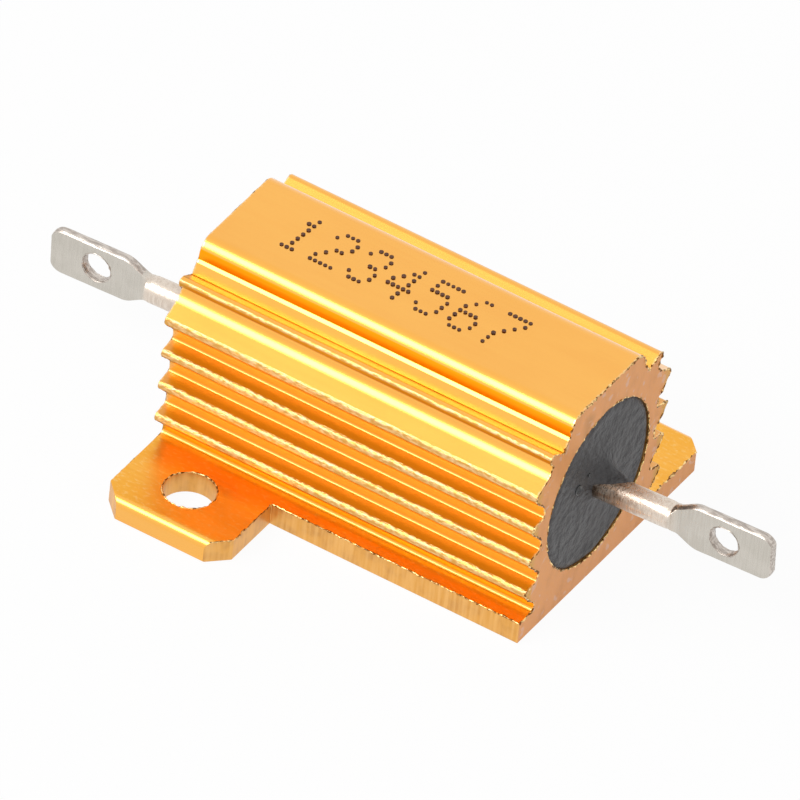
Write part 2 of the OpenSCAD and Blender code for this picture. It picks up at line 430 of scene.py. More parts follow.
def gold_skin():
    """Gold anodising on the extruded skin: drawn lines, wear along the sawn ends, and painted
    shade on the tops of the lower fins.
    """
    mat, tree, shader = material("gold anodised skin", (0.96, 0.42, 0.03), 1.0, 0.24,
                                 Coat_Weight=1.0, Coat_IOR=1.7, Coat_Roughness=0.22)
    lines = use(tree, GRAIN, Scale=(120, 6000, 6000), Detail=3.0, Low=0.3, High=0.7,
                Height=0.0000006)
    cloud = use(tree, GRAIN, Scale=(160, 420, 420), Detail=2.0, Low=0.3, High=0.7, Height=0.0)
    rim = use(tree, RIM, Reach=0.00012, Ragged=0.00035, Fine=5200.0)
    tops = painted_fin_top_shade(tree)
    paint(tree, shader, cloud.outputs["Mask"], (0.94, 0.415, 0.022), (0.96, 0.440, 0.030),
          ((0.98, 0.50, 0.05), lines.outputs["Mask"], 0.2),
          # Painted shade: the tops of the lower fins are darker and redder.
          ((0.80, 0.34, 0.008), tops),
          ((0.98, 0.66, 0.32), rim.outputs["Mask"], 0.8))
    roughen(tree, shader, tops, 0.26, 0.46)
    normals(tree, shader, lines.outputs["Normal"])
    return mat


def foot_skin():
    """Drawn top of the foot: amber, satin, with fine lines running along the part."""
    mat, tree, shader = material("gold anodised foot", (0.95, 0.50, 0.06), 1.0, 0.32)
    lines = use(tree, GRAIN, Scale=(220, 5200, 5200), Detail=4.0, Low=0.3, High=0.7,
                Height=0.0000035)
    cloud = use(tree, GRAIN, Scale=(200, 600, 600), Detail=2.0, Low=0.3, High=0.7, Height=0.0)
    speck = use(tree, GRAIN, Scale=(2600, 5000, 5000), Detail=3.0, Low=0.5, High=0.72,
                Height=0.000004)
    paint(tree, shader, cloud.outputs["Mask"], (0.92, 0.44, 0.055), (0.97, 0.49, 0.085),
          ((0.88, 0.40, 0.040), lines.outputs["Mask"], 0.35),
          ((0.98, 0.66, 0.24), speck.outputs["Mask"], 0.5))
    roughen(tree, shader, lines.outputs["Mask"], 0.28, 0.42)
    normals(tree, shader, lines.outputs["Normal"], speck.outputs["Normal"])
    return mat


def rubbed_tips_with_painted_glints():
    """Outer edges of the fins and rails: the anodising rubbed thin, with sparkling grain whose
    pale specks are painted glints.
    """
    mat, tree, shader = material("rubbed fin tips with painted glints", (0.96, 0.55, 0.14), 1.0, 0.4)
    grain = use(tree, GRAIN, Scale=(2600, 6000, 6000), Detail=3.0, Low=0.38, High=0.64,
                Height=0.000016)
    patches = use(tree, GRAIN, Scale=(500, 1500, 1500), Detail=2.0, Low=0.35, High=0.7,
                  Height=0.0)
    # Wear and painted glints: pale specks on the grain stand in for the tips' speckled
    # highlights.
    paint(tree, shader, grain.outputs["Mask"], (0.72, 0.37, 0.09), (0.86, 0.58, 0.29),
          ((0.80, 0.40, 0.07), patches.outputs["Mask"], 0.35))
    roughen(tree, shader, grain.outputs["Mask"], 0.36, 0.5)
    normals(tree, shader, grain.outputs["Normal"])
    return mat


def painted_wall_reflection():
    """The steep sides of the top strip, with a painted reflection: a deeper, darker orange than
    the rest of the skin.
    """
    # Painted reflection: deeper orange colours stand in for the gold that the wall reflects.
    mat, tree, shader = material("gold wall with painted reflection", (0.98, 0.36, 0.006), 1.0, 0.34)
    lines = use(tree, GRAIN, Scale=(120, 6000, 6000), Detail=3.0, Low=0.3, High=0.7,
                Height=0.000001)
    paint(tree, shader, lines.outputs["Mask"], (0.96, 0.345, 0.004), (1.0, 0.39, 0.010))
    normals(tree, shader, lines.outputs["Normal"])
    return mat


def painted_shade_finish():
    """The same anodising, darker and duller: painted shade under the fins, in the groove by the
    top strip, on the near back of the rail and at the root of the foot.
    """
    # Painted shade: a darker copy of the gold anodising for faces where shade falls.
    mat, tree, shader = material("painted shade on the anodising", (0.66, 0.31, 0.02), 1.0, 0.42)
    lines = use(tree, GRAIN, Scale=(160, 5200, 5200), Detail=3.0, Low=0.3, High=0.7,
                Height=0.000002)
    paint(tree, shader, lines.outputs["Mask"], (0.58, 0.26, 0.012), (0.74, 0.36, 0.03))
    roughen(tree, shader, lines.outputs["Mask"], 0.36, 0.5)
    normals(tree, shader, lines.outputs["Normal"])
    return mat


def painted_fin_top_shade(tree):
    """1 on the tops of the lower fins, where shade is painted, 0 elsewhere."""
    _, across, up = place_of(tree)
    across = maths(tree, "ABSOLUTE", across)
    tops = maths(tree, "MULTIPLY", ramp(tree, across, 0.0064, 0.0066),
                 fade(tree, up, 0.0095, 0.0100))
    return maths(tree, "MULTIPLY", tops, fade(tree, across, 0.0079, 0.0090))


def sawn_end():
    """Bare sawn face: matt pinkish metal with fine pits, darker smears and golden fin tips."""
    mat, tree, shader = material("sawn end face", (0.68, 0.35, 0.15), 0.35, 0.5)
    pits = use(tree, GRAIN, Scale=(5200, 5200, 5200), Detail=4.0, Low=0.35, High=0.75,
               Height=0.000012)
    smear = use(tree, GRAIN, Scale=(700, 900, 420), Detail=3.0, Low=0.45, High=0.75, Height=0.0)
    stain = use(tree, GRAIN, Scale=(300, 330, 260), Detail=2.0, Low=0.56, High=0.72, Height=0.0)
    saw = use(tree, GRAIN, Scale=(900, 500, 7000), Detail=2.0, Low=0.3, High=0.7,
              Height=0.000005)
    dents = use(tree, GRAIN, Scale=(1500, 1500, 1500), Detail=1.0, Low=0.62, High=0.72,
                Height=-0.00004)
    _, across, up = place_of(tree)
    tip = maths(tree, "MULTIPLY", ramp(tree, maths(tree, "ABSOLUTE", across), 0.0068, 0.0073),
                maths(tree, "GREATER_THAN", up, 0.0021))
    tip = maths(tree, "MULTIPLY", tip, maths(tree, "ADD", 0.5, pits.outputs["Mask"]), clamp=True)
    paint(tree, shader, smear.outputs["Mask"], (0.88, 0.375, 0.110), (0.78, 0.315, 0.082),
          ((0.95, 0.50, 0.19), pits.outputs["Mask"], 0.4),
          ((0.52, 0.23, 0.06), stain.outputs["Mask"], 0.5),
          ((0.84, 0.56, 0.44), dents.outputs["Mask"], 0.5),
          ((0.80, 0.42, 0.06), tip))
    roughen(tree, shader, pits.outputs["Mask"], 0.4, 0.6)
    normals(tree, shader, pits.outputs["Normal"], saw.outputs["Normal"], dents.outputs["Normal"])
    return mat


def milled_edge():
    """Milled and sheared edges of the foot, and the bore: upright tool marks on amber metal."""
    mat, tree, shader = material("milled edge", (0.74, 0.36, 0.09), 0.9, 0.4)
    marks = use(tree, GRAIN, Scale=(4200, 4200, 300), Detail=2.0, Low=0.25, High=0.75,
                Height=0.000006)
    smear = use(tree, GRAIN, Scale=(900, 900, 900), Detail=3.0, Low=0.4, High=0.7, Height=0.0)
    paint(tree, shader, smear.outputs["Mask"], (0.78, 0.38, 0.085), (0.62, 0.29, 0.075),
          ((0.94, 0.56, 0.20), marks.outputs["Mask"], 0.6))
    roughen(tree, shader, marks.outputs["Mask"], 0.3, 0.48)
    normals(tree, shader, marks.outputs["Normal"])
    return mat


def burr_metal():
    """Torn metal on the cut edges: bright and dark flecks, which are painted glints and painted
    shade.
    """
    mat, tree, shader = material("torn edge metal with painted glints and shade", (0.95, 0.6, 0.22), 1.0, 0.25)
    glints_and_shade = use(tree, GRAIN, Scale=(3800, 3800, 3800), Detail=3.0, Low=0.4, High=0.62,
                 Height=0.00001)
    # Painted glints and painted shade: dark and bright flecks of the torn metal.
    paint(tree, shader, glints_and_shade.outputs["Mask"], (0.20, 0.075, 0.012), (1.0, 0.70, 0.30))
    roughen(tree, shader, glints_and_shade.outputs["Mask"], 0.4, 0.2)
    normals(tree, shader, glints_and_shade.outputs["Normal"])
    return mat


def black_compound():
    """Cast potting compound: matt, mottled, with a skin of leathery wrinkles."""
    mat, tree, shader = material("cast compound", (0.06, 0.06, 0.06), 0.0, 0.55,
                                 Specular_IOR_Level=0.4)
    fine = use(tree, GRAIN, Scale=(4200, 4200, 4200), Detail=3.0, Low=0.3, High=0.75,
               Height=0.00005)
    wrinkles = use(tree, GRAIN, Scale=(1500, 1500, 1500), Detail=4.0, Low=0.3, High=0.7,
                   Height=0.00030)
    cloud = use(tree, GRAIN, Scale=(260, 260, 260), Detail=2.0, Low=0.3, High=0.7, Height=0.0)
    paint(tree, shader, cloud.outputs["Mask"], (0.044, 0.042, 0.044), (0.080, 0.077, 0.079),
          ((0.13, 0.13, 0.13), fine.outputs["Mask"], 0.3))
    roughen(tree, shader, cloud.outputs["Mask"], 0.42, 0.56)
    normals(tree, shader, fine.outputs["Normal"], wrinkles.outputs["Normal"])
    return mat


def glossy_compound():
    """The same compound where a bubble left it smooth."""
    mat, tree, shader = material("smooth compound", (0.07, 0.07, 0.07), 0.0, 0.22)
    fine = use(tree, GRAIN, Scale=(4200, 4200, 4200), Detail=3.0, Low=0.3, High=0.75,
               Height=0.000012)
    paint(tree, shader, fine.outputs["Mask"], (0.05, 0.05, 0.05), (0.12, 0.12, 0.12))
    normals(tree, shader, fine.outputs["Normal"])
    return mat


def pressed_edge():
    """Rounded edge of the pressed blade: speckled, slightly pink tin."""
    mat, tree, shader = material("pressed edge of the blade", (0.6, 0.53, 0.47), 1.0, 0.36)
    grain = use(tree, GRAIN, Scale=(1500, 5600, 5600), Detail=3.0, Low=0.36, High=0.66,
                Height=0.000010)
    paint(tree, shader, grain.outputs["Mask"], (0.42, 0.37, 0.33), (0.66, 0.60, 0.54))
    roughen(tree, shader, grain.outputs["Mask"], 0.42, 0.3)
    normals(tree, shader, grain.outputs["Normal"])
    return mat


def tinned():
    """Tinned wire and blade: satin tin, rubbed lines, brown heat stain next to the compound, and
    a painted sheen that makes the round wire paler than the blade.
    """
    mat, tree, shader = material("tinned wire and blade", (0.62, 0.58, 0.52), 1.0, 0.3)
    lines = use(tree, GRAIN, Scale=(9000, 6000, 500), Detail=3.0, Low=0.3, High=0.7,
                Height=0.000005)
    blots = use(tree, GRAIN, Scale=(900, 2600, 2600), Detail=4.0, Low=0.40, High=0.66,
                Height=0.000010)
    cloud = use(tree, GRAIN, Scale=(350, 700, 700), Detail=3.0, Low=0.35, High=0.7, Height=0.0)
    away = maths(tree, "ABSOLUTE", place_of(tree)[0])
    round_wire_sheen = fade(tree, away, 0.0186, 0.0196)
    stained = maths(tree, "ADD", 0.10, maths(tree, "MULTIPLY", blots.outputs["Mask"], 0.75))
    heat = maths(tree, "MULTIPLY", fade(tree, away, 0.0138, 0.0185), stained, clamp=True)
    soot = fade(tree, away, 0.0134, 0.0142)
    paint(tree, shader, maths(tree, "MULTIPLY", lines.outputs["Mask"], 0.35),
          (0.59, 0.555, 0.495), (0.44, 0.41, 0.36),
          ((0.68, 0.64, 0.58), cloud.outputs["Mask"], 0.35),
          # Painted sheen: the round wire is paler than the pressed blade.
          ((0.80, 0.70, 0.60), round_wire_sheen),
          ((0.46, 0.37, 0.30), lines.outputs["Mask"], maths(tree, "MULTIPLY", round_wire_sheen, 0.45)),
          ((0.34, 0.19, 0.10), heat),
          ((0.04, 0.035, 0.03), soot, blots.outputs["Mask"]))
    roughen(tree, shader, lines.outputs["Mask"], 0.22, 0.4)
    normals(tree, shader, lines.outputs["Normal"], blots.outputs["Normal"])
    return mat


def plain_inner(name, colour, metallic, roughness, scale):
    """Finish of a piece inside the compound: one colour, slightly mottled."""
    mat, tree, shader = material(name, colour, metallic, roughness)
    mottle = use(tree, GRAIN, Scale=(scale, scale, scale), Detail=3.0, Low=0.3, High=0.7,
                 Height=0.000004)
    paint(tree, shader, mottle.outputs["Mask"], [c * 0.75 for c in colour], colour)
    normals(tree, shader, mottle.outputs["Normal"])
    return mat


def printed_dot():
    """Dark brown dot burnt into the anodising."""
    mat, tree, shader = material("burnt dot", (0.09, 0.025, 0.006), 0.0, 0.5)
    soot = use(tree, GRAIN, Scale=(6000, 6000, 6000), Detail=2.0, Low=0.3, High=0.7,
               Height=0.000004)
    paint(tree, shader, soot.outputs["Mask"], (0.05, 0.014, 0.003), (0.12, 0.036, 0.008))
    normals(tree, shader, soot.outputs["Normal"])
    return mat


# ---------------------------------------------------------------- geometry node trees

def geometry_group(name, inputs):
    shape = ("Geometry", "NodeSocketGeometry")
    return node_group(name, "GeometryNodeTree", [(*shape, None)] + inputs, [shape])


def last_nodes(tree, geometry, given, out):
    """Makes the result real, gives it its material and sends it out."""
    whole = add(tree, "GeometryNodeRealizeInstances")
    coated = add(tree, "GeometryNodeSetMaterial")
    tree.links.new(geometry, whole.inputs["Geometry"])
    tree.links.new(whole.outputs[0], coated.inputs["Geometry"])
    tree.links.new(given.outputs["Material"], coated.inputs["Material"])
    tree.links.new(coated.outputs[0], out.inputs["Geometry"])


def random_size(tree, given, low, high):
    """A random number between low and high for each point."""
    node = add(tree, "FunctionNodeRandomValue", data_type="FLOAT")
    node.inputs[2].default_value, node.inputs[3].default_value = low, high
    tree.links.new(given.outputs["Seed"], node.inputs["Seed"])
    return node.outputs[1]


def ragged_edge_tree():
    """A thin uneven bead of torn metal that follows an edge."""
    tree, given, out = geometry_group("ragged edge", [
        ("Spacing", "NodeSocketFloat", 0.0001), ("Bead", "NodeSocketFloat", 0.00004),
        ("Stray", "NodeSocketFloat", 0.00003), ("Seed", "NodeSocketInt", 1),
        ("Material", "NodeSocketMaterial", None)])
    curve = add(tree, "GeometryNodeMeshToCurve")
    even = add(tree, "GeometryNodeResampleCurve", mode="LENGTH")
    tree.links.new(given.outputs["Geometry"], curve.inputs[0])
    tree.links.new(curve.outputs[0], even.inputs["Curve"])
    tree.links.new(given.outputs["Spacing"], even.inputs["Length"])
    stray = add(tree, "FunctionNodeRandomValue", data_type="FLOAT_VECTOR")
    stray.inputs[0].default_value = (-1, -1, -1)
    stray.inputs[1].default_value = (1, 1, 1)
    tree.links.new(given.outputs["Seed"], stray.inputs["Seed"])
    scaled = add(tree, "ShaderNodeVectorMath", operation="SCALE")
    tree.links.new(stray.outputs[0], scaled.inputs[0])
    tree.links.new(given.outputs["Stray"], scaled.inputs["Scale"])
    move = add(tree, "GeometryNodeSetPosition")
    tree.links.new(even.outputs[0], move.inputs["Geometry"])
    tree.links.new(scaled.outputs[0], move.inputs["Offset"])
    radius = add(tree, "GeometryNodeSetCurveRadius")
    tree.links.new(move.outputs[0], radius.inputs["Curve"])
    tree.links.new(maths(tree, "MULTIPLY", random_size(tree, given, 0.15, 1.0),
                         given.outputs["Bead"]), radius.inputs["Radius"])
    ring = add(tree, "GeometryNodeCurvePrimitiveCircle")
    ring.inputs["Resolution"].default_value = 6
    ring.inputs["Radius"].default_value = 1.0
    skin = add(tree, "GeometryNodeCurveToMesh")
    tree.links.new(radius.outputs[0], skin.inputs["Curve"])
    tree.links.new(ring.outputs[0], skin.inputs["Profile Curve"])
    tree.links.new(add(tree, "GeometryNodeInputRadius").outputs[0], skin.inputs["Scale"])
    skin.inputs["Fill Caps"].default_value = True
    last_nodes(tree, skin.outputs[0], given, out)
    return tree


def dots_tree():
    """A flat round dot on every point."""
    tree, given, out = geometry_group("printed dots", [
        ("Dot", "NodeSocketFloat", 0.00016), ("Thickness", "NodeSocketFloat", 0.00001),
        ("Seed", "NodeSocketInt", 1), ("Material", "NodeSocketMaterial", None)])
    disc = add(tree, "GeometryNodeMeshCylinder")
    disc.inputs["Vertices"].default_value = 14
    tree.links.new(given.outputs["Dot"], disc.inputs["Radius"])
    tree.links.new(given.outputs["Thickness"], disc.inputs["Depth"])
    size = random_size(tree, given, 0.88, 1.1)
    wide = add(tree, "ShaderNodeCombineXYZ")
    tree.links.new(size, wide.inputs[0])
    tree.links.new(size, wide.inputs[1])
    wide.inputs[2].default_value = 1.0
    place = add(tree, "GeometryNodeInstanceOnPoints")
    tree.links.new(given.outputs["Geometry"], place.inputs["Points"])
    tree.links.new(disc.outputs["Mesh"], place.inputs["Instance"])
    tree.links.new(wide.outputs[0], place.inputs["Scale"])
    last_nodes(tree, place.outputs[0], given, out)
    return tree


def grow(obj, tree, **values):
    """Runs a geometry node tree on the object and keeps the result as a plain mesh."""
    m = obj.modifiers.new("grow", "NODES")
    m.node_group = tree
    for item in tree.interface.items_tree:
        if item.in_out == "INPUT" and item.name in values:
            m[item.identifier] = values[item.name]
    return flatten(obj)


def edge_lines(name, loops):
    """Object of plain edges: each loop is (points, closed)."""
    verts, edges = [], []
    for points, closed in loops:
        first = len(verts)
        verts += [tuple(c * MM for c in p) for p in points]
        edges += [(first + i, first + i + 1) for i in range(len(points) - 1)]
        if closed:
            edges.append((len(verts) - 1, first))
    mesh = bpy.data.meshes.new(name)
    mesh.from_pydata(verts, edges, [])
    return new_object(name, mesh)


# ---------------------------------------------------------------- housing

FOOT_HALF = [
    (-HALF_LENGTH, -HALF_TAB + TAB_CUT),
    (-HALF_LENGTH + TAB_CUT, -HALF_TAB),
    (-HALF_LENGTH + TAB_LENGTH - TAB_CUT, -HALF_TAB),
    (-HALF_LENGTH + TAB_LENGTH, -HALF_TAB + TAB_CUT),
    (-HALF_LENGTH + TAB_LENGTH, -HALF_FOOT),
    (HALF_LENGTH, -HALF_FOOT),
]


def finish_at(c, n):
    """Finish of a housing face, from its centre in millimetres and its normal."""
    y = abs(c.y)
    if abs(n.x) > 0.95 and abs(c.x) > HALF_LENGTH - 0.01:
        return SAWN
    drawn_side = y > HALF_TAB - 0.01 and abs(n.y) > 0.99
    sheared = abs(n.z) < 0.1 and c.z < FOOT + 0.05 and y > HALF_FOOT - 0.02 and not drawn_side
    bored = abs(n.x) < 0.05 and math.hypot(c.y, c.z - BORE_Z) < BORE_R + 0.01
    if sheared or bored:
        return MILLED
    # Painted shade: these faces get the darker copy of the anodising, under the fins, on the
    # rail's near back, in the groove and at the foot's root.
    beneath = c.z > FOOT + 0.3 and n.z < -0.12
    rail_back = 12.5 < c.z < 14 and c.y < 0 and n.y > 0.1
    groove = c.z < 13.4 and 4.7 < y < 5.3
    foot_root = FOOT + 0.25 < c.z < 2.5 and y < 6.6
    if beneath or rail_back or groove or foot_root:
        return PAINTED_SHADE
    fin_tip = y > HALF_FIN - 0.26 and c.z > FOOT + 0.3
    rail_tip = y > HALF_WALL - 0.24 and 13.35 < c.z < 13.85
    if fin_tip or rail_tip:
        return TIPS
    # Painted reflection: the steep walls of the top strip get the deeper orange copy of the
    # anodising.
    if 3.8 < y < 4.4 and 14.02 < c.z < 14.8 and abs(n.z) < 0.55:
        return PAINTED_WALL_REFLECTION
    if abs(c.z - FOOT) < 0.01 and abs(n.z) > 0.9:
        return LEVEL
    return SKIN


def housing():
    """Extruded section, milled to its plan, bored, drilled and with its edges broken."""
    body = prism("housing_body", section(HALF_TAB, HALF_TAB, FOOT_EDGE), "x",
                 -HALF_LENGTH, HALF_LENGTH)
    plan = FOOT_HALF + [(-x, -y) for x, y in FOOT_HALF]
    cut(body, "INTERSECT", prism("plan", plan, "z", -1, HEIGHT + 1))
    cutters = [prism("bore", circle(0, BORE_Z, BORE_R, 96), "x", -15, 15)]
    for s in (-1, 1):
        cutters.append(prism("hole", circle(s * HOLE_X, s * HOLE_Y, HOLE_R, 64), "z", -1, 3))
    cut(body, "DIFFERENCE", *cutters)
    mesh = body.data
    mesh.materials.clear()
    finishes = (SKIN, SAWN, MILLED, PAINTED_SHADE, TIPS, PAINTED_WALL_REFLECTION, LEVEL)
    for mat in finishes:
        mesh.materials.append(mat)
    bm = bmesh.new()
    bm.from_mesh(mesh)
    bmesh.ops.remove_doubles(bm, verts=bm.verts, dist=2e-7)
    for face in bm.faces:
        face.smooth = True
        face.material_index = finishes.index(
            finish_at(face.calc_center_median() / MM, face.normal))
    bm.to_mesh(mesh)
    bm.free()
    broken = body.modifiers.new("edges", "BEVEL")
    broken.width, broken.segments, broken.limit_method = BROKEN_EDGE * MM, 2, "ANGLE"
    broken.angle_limit, broken.use_clamp_overlap = math.radians(40), False
    body.modifiers.new("flats", "WEIGHTED_NORMAL")
    flatten(body)
    finish_piece(body, "gold_aluminium", "housing")


def housing_burrs():
    """Torn metal round the sawn ends, the bore mouths, the drilled holes and the milled foot."""
    end_x, foot_z = HALF_LENGTH - 0.02, FOOT - 0.01
    ends, rims, holes = {}, [], []
    for s in (-1, 1):
        reach = {1: (HALF_TAB - TAB_CUT, HALF_FOOT), -1: (HALF_FOOT, HALF_TAB - TAB_CUT)}[s]
        loop = [(s * end_x, y * 0.995, z - 0.04) for y, z in section(*reach, 0)]
        start = max(i for i, p in enumerate(loop) if p[2] < 0.03) + 1
        ordered = loop[start:] + loop[:start]
        ends[s] = [([p for p in ordered if p[2] > 0.03], False)]
        mouth = circle(0, BORE_Z, BORE_R + 0.03, 160)
        rims.append(([(s * end_x, y, z) for y, z in mouth], True))
        hole = circle(s * HOLE_X, s * HOLE_Y, HOLE_R + 0.01, 90)
        holes.append(([(x, y, foot_z) for x, y in hole], True))
    plan = [(x, y, foot_z) for x, y in FOOT_HALF[2:]]
    plan[0] = (plan[0][0] + 0.2, plan[0][1] + 0.2, FOOT - 0.03)
    holes += [(plan, False), ([(-x, -y, z) for x, y, z in plan], False)]
    # Name, edges, and in metres the spacing, bead and stray of the torn metal
    jobs = (("burrs_right", ends[1], 0.00017, 0.00010, 0.00004),
            ("burrs_left", ends[-1], 0.00030, 0.00005, 0.00001),
            ("burrs_bore", rims, 0.00017, 0.00008, 0.00004),
            ("burrs_foot", holes, 0.00016, 0.00008, 0.00003))
    for seed, (name, loops, spacing, bead, stray) in enumerate(jobs, start=3):
        piece = grow(edge_lines(name, loops), RAGGED, Spacing=spacing, Bead=bead, Stray=stray,
                     Seed=seed, Material=TORN)
        outwards(piece.data)
        finish_piece(piece, "gold_aluminium")


# ---------------------------------------------------------------- moulding

COMPOUND_X = HALF_LENGTH - 0.06


def lead_height(s):
    """Height at which a lead leaves the compound, on the left (-1) or the right (1)."""
    return AXIS_Z + s * COMPOUND_X * math.tan(ELEMENT_TILT)


def compound_depth(s, y, z):
    """How far out the compound reaches at a place on one end of the moulding."""
    up = z - lead_height(s)
    off = max(math.hypot(y, up) - LEAD_R, 0)
    film = max(math.cos(math.atan2(s * y, up) - math.radians(25)), 0) ** 1.5
    rise = (0.12 + 2.1 * film) * math.exp(-off / 0.30)
    rise += (0.05 + 0.5 * film) * math.exp(-off / 1.1)
    r = math.hypot(y, z - BORE_Z) / BORE_R
    rim = -0.12 * min(max((r - 0.93) / 0.07, 0), 1) ** 2
    rim += 0.05 * math.exp(-((r - 0.9) / 0.05) ** 2)
    wave = 0.09 * noise.noise(Vector((y * 0.42, z * 0.42, 3.0 * s)))
    wrinkle = 0.022 * noise.noise(Vector((y * 3.1, z * 1.7, 9.0 * s)))
    return COMPOUND_X + rim + rise + wave + wrinkle


def moulding():
    """Cast filling with a hollow rim and a raised collar where each lead leaves it."""
    rings, sides = 60, 168
    outer, inner = BORE_R - 0.01, 0.55 * LEAD_R
    verts, faces = [], []
    for s in (-1, 1):
        base = len(verts)
        for i in range(rings + 1):
            share = (i / rings) ** 1.7
            for k in range(sides):
                a = 2 * math.pi * k / sides
                oy, oz = outer * math.cos(a), BORE_Z + outer * math.sin(a)
                iy, iz = inner * math.cos(a), lead_height(s) + inner * math.sin(a)
                y, z = iy + (oy - iy) * share, iz + (oz - iz) * share
                verts.append((s * compound_depth(s, y, z), y, z))
        faces += ring_faces(base, rings + 1, sides)
        faces.append(tuple(base + k for k in range(sides)))
    left, right = rings * sides, (2 * rings + 1) * sides
    for k in range(sides):
        j = (k + 1) % sides
        faces.append((left + k, left + j, right + j, right + k))
    mesh = mesh_from("moulding_body", verts, faces)
    outwards(mesh)
    soften(mesh, 50)
    mesh.materials.append(COMPOUND)
    finish_piece(new_object("moulding_body", mesh), "black_moulding", "moulding")


def bubbles():
    """An open bubble rim and a closed one set in the compound beside the right lead."""
    verts, faces = [], []
    n = 28
    # Profiles as radius and height, from the outer edge to the middle
    rim = [(0.36, -0.06), (0.34, 0.03), (0.29, 0.07), (0.24, 0.03), (0.20, -0.05), (0.07, -0.05),
           (0.05, 0.02), (0.0, 0.04)]
    dome = [(0.15, -0.05), (0.13, 0.03), (0.09, 0.07), (0.0, 0.08)]
    for y0, z0, lift, profile in ((-2.39, 8.5, 0.0, rim), (-1.33, 9.0, 0.06, dome)):
        first, rows = len(verts), len(profile) - 1
        x0 = HALF_LENGTH - 0.03 + lift
        for r, h in profile[:-1]:
            verts += [(x0 + h, y, z) for y, z in circle(y0, z0, r, n)]
        verts.append((x0 + profile[-1][1], y0, z0))
        faces += ring_faces(first, rows, n)
        last = first + (rows - 1) * n
        faces += [(last + k, last + (k + 1) % n, len(verts) - 1) for k in range(n)]
        faces.append(tuple(first + k for k in range(n)))
    mesh = mesh_from("moulding_bubbles", verts, faces)
    outwards(mesh)
    soften(mesh)
    mesh.materials.append(GLOSS)
    finish_piece(new_object("moulding_bubbles", mesh), "black_moulding")


# ---------------------------------------------------------------- terminals

PRESS = TIP - BLADE_LENGTH - STEP


def clamped(t):
    """The share t, kept between 0 and 1."""
    return min(max(t, 0.0), 1.0)


def wire_half_sizes(x, step):
    """Half height, half thickness and radius of the wire at x; its press slopes over step."""
    if x <= CAP_END + HEAD_LENGTH:
        return HEAD_R, HEAD_R, HEAD_R
    flare = clamped((x - PRESS) / FLARE)
    half = LEAD_R + (BLADE_HALF - LEAD_R) * (flare * flare * (3 - 2 * flare))
    pressed = math.sin(math.pi / 2 * clamped((x - PRESS) / step))
    thick = LEAD_R - (LEAD_R - BLADE_T / 2) * pressed
    if x > TIP - BLADE_R:
        u = x - (TIP - BLADE_R)
        half = half - BLADE_R + math.sqrt(max(BLADE_R ** 2 - u * u, 0))
    if x > TIP - TIP_BREAK:
        u = (x - TIP + TIP_BREAK) / TIP_BREAK
        thick -= TIP_ROUND * (1 - math.sqrt(max(1 - u ** 2, 0)))
    return half - PINCH * math.exp(-((x - PRESS) / PINCH_REACH) ** 2), thick, LEAD_R


def eye_punch():
    """Tool that punches the eye, slightly drawn in at both mouths."""
    half, mouth, n = BLADE_T / 2, EYE_R + 0.09, 56
    shape = [(-1.5, mouth), (-half - 0.005, mouth), (-half + 0.03, EYE_R + 0.03),
             (-half + 0.09, EYE_R), (half - 0.09, EYE_R), (half - 0.03, EYE_R + 0.03),
             (half + 0.005, mouth), (1.5, mouth)]
    points = [(x, y, z) for y, r in shape for x, z in circle(EYE_AT, 0, r, n)]
    faces = ring_faces(0, len(shape), n)
    faces += [tuple(range(n)), tuple(range((len(shape) - 1) * n, len(shape) * n))]
    mesh = mesh_from("punch", points, faces)
    outwards(mesh)
    return new_object("punch", mesh)


def terminal(name, side, node, step):
    """Round wire, headed inside the moulding, whose outer end is pressed flat and pierced."""
    xs = [CAP_END, CAP_END + HEAD_LENGTH, CAP_END + HEAD_LENGTH + 0.02]
    xs += list(np.linspace(CAP_END + 0.5, PRESS - 0.3, 24))
    xs += list(np.linspace(PRESS - 0.25, PRESS + step + 0.3, 34))
    xs += list(np.linspace(PRESS + step + 0.35, TIP - BLADE_R, 40))
    xs += [TIP - BLADE_R + BLADE_R * math.sin(a) for a in np.linspace(0.06, math.pi / 2, 18)]
    n = 96
    verts = []
    for x in xs:
        half, thick, r = wire_half_sizes(x, step)
        for k in range(n):
            a = 2 * math.pi * k / n
            swell = 1 + 0.006 * noise.noise(Vector((x * 1.3, a * 2, side * 3.0)))
            y = max(-thick, min(thick, r * math.sin(a) * swell))
            verts.append((min(x, TIP), y, half * math.cos(a) * swell))
    faces = ring_faces(0, len(xs), n)
    faces.append(tuple(range(n))[::-1])
    faces.append(tuple(range((len(xs) - 1) * n, len(xs) * n)))
    mesh = mesh_from(name, verts, faces)
    outwards(mesh)
    obj = new_object(name, mesh)
    cut(obj, "DIFFERENCE", eye_punch())
    mesh = obj.data
    mesh.materials.clear()
    for mat in (TIN, EDGE):
        mesh.materials.append(mat)
    for polygon in mesh.polygons:
        c, v = polygon.center / MM, polygon.normal
        bored = math.hypot(c.x - EYE_AT, c.z) < EYE_R + 0.06
        rounded_edge = abs(v.z) > 0.45 or v.x > 0.45 or bored
        polygon.material_index = int(c.x > PRESS + 0.5 and rounded_edge)
    turn = Matrix.Translation((0, 0, AXIS_Z * MM)) @ Matrix.Rotation(-ELEMENT_TILT, 4, "Y")
    if side < 0:
        turn = turn @ Matrix.Rotation(math.pi, 4, "Z")
    mesh.transform(turn)
    outwards(mesh)
    soften(mesh, 32)
    rims = [([(x, y, z) for x, z in circle(EYE_AT, 0, EYE_R + 0.08, 40)], True)
            for y in (-BLADE_T / 2, BLADE_T / 2)]
    ring = edge_lines(name + "_rim", rims)
    ring.data.transform(turn)
    grow(ring, RAGGED, Spacing=0.00019, Bead=0.00006, Stray=0.00002, Seed=21, Material=EDGE)
    outwards(ring.data)
    finish_piece(ring, "tinned_metal")
    finish_piece(obj, "tinned_metal", node)


